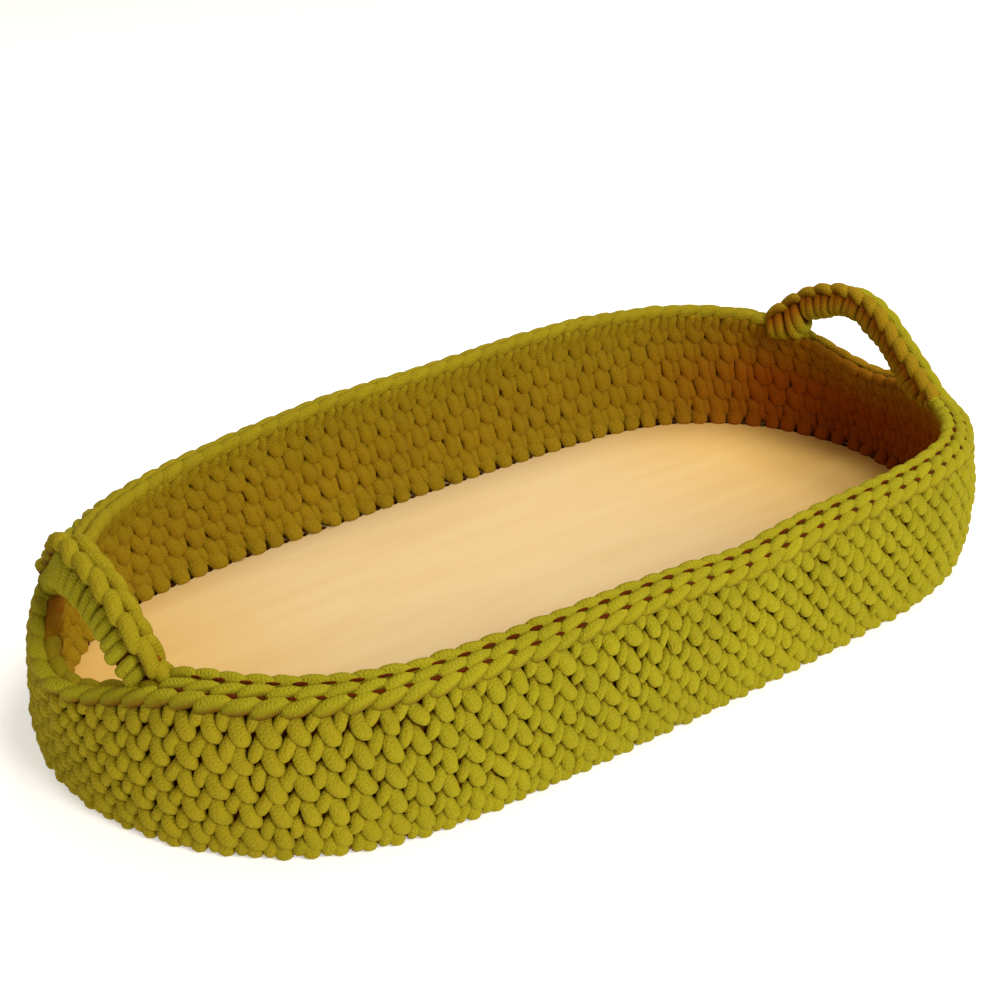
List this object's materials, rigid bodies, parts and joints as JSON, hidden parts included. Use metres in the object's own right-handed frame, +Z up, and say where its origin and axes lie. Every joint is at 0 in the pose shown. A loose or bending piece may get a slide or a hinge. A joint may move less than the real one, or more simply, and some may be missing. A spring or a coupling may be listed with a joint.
{
  "type": "changing basket",
  "caption": "Oblong crocheted cord basket with rounded ends, a plywood base board and an arched handle at each end, which holds a changing mat.",
  "frame": {"origin": "on the floor under the middle of the basket", "axes": "+X along the basket's length, towards the right handle; +Z up; +Y across, towards the back side"},
  "size_m": [0.7806, 0.3916, 0.1598],
  "materials": {
    "cotton_cord": "thick olive-green cotton cord, crocheted, matt",
    "plywood": "pale birch plywood, sanded, clear matt lacquer"
  },
  "bodies": {
    "basket": {"base_board": "plywood", "foundation_round": "cotton_cord", "wall_round_1": "cotton_cord", "wall_round_2": "cotton_cord", "wall_round_3": "cotton_cord", "wall_round_4": "cotton_cord", "wall_round_5": "cotton_cord", "front_loop_round": "cotton_cord", "back_loop_left": "cotton_cord", "back_loop_right": "cotton_cord", "rim_front_posts": "cotton_cord", "rim_front_outer_strand": "cotton_cord", "rim_front_inner_strand": "cotton_cord", "rim_back_posts": "cotton_cord", "rim_back_outer_strand": "cotton_cord", "rim_back_inner_strand": "cotton_cord"},
    "left_handle": {"handle_left_posts": "cotton_cord", "handle_left_outer_strand": "cotton_cord", "handle_left_inner_strand": "cotton_cord"},
    "right_handle": {"handle_right_posts": "cotton_cord", "handle_right_outer_strand": "cotton_cord", "handle_right_inner_strand": "cotton_cord"}
  },
  "joints": [
    {"name": "left_handle_bend", "type": "hinge", "parent": "basket", "child": "left_handle", "pos_m": [-0.33769, 0, 0.10999], "axis": [0, -1, 0], "range_deg": [-50, 15], "stiffness_Nm_per_rad": 0.6},
    {"name": "right_handle_bend", "type": "hinge", "parent": "basket", "child": "right_handle", "pos_m": [0.33769, 0, 0.10999], "axis": [0, 1, 0], "range_deg": [-50, 15], "stiffness_Nm_per_rad": 0.6}
  ]
}
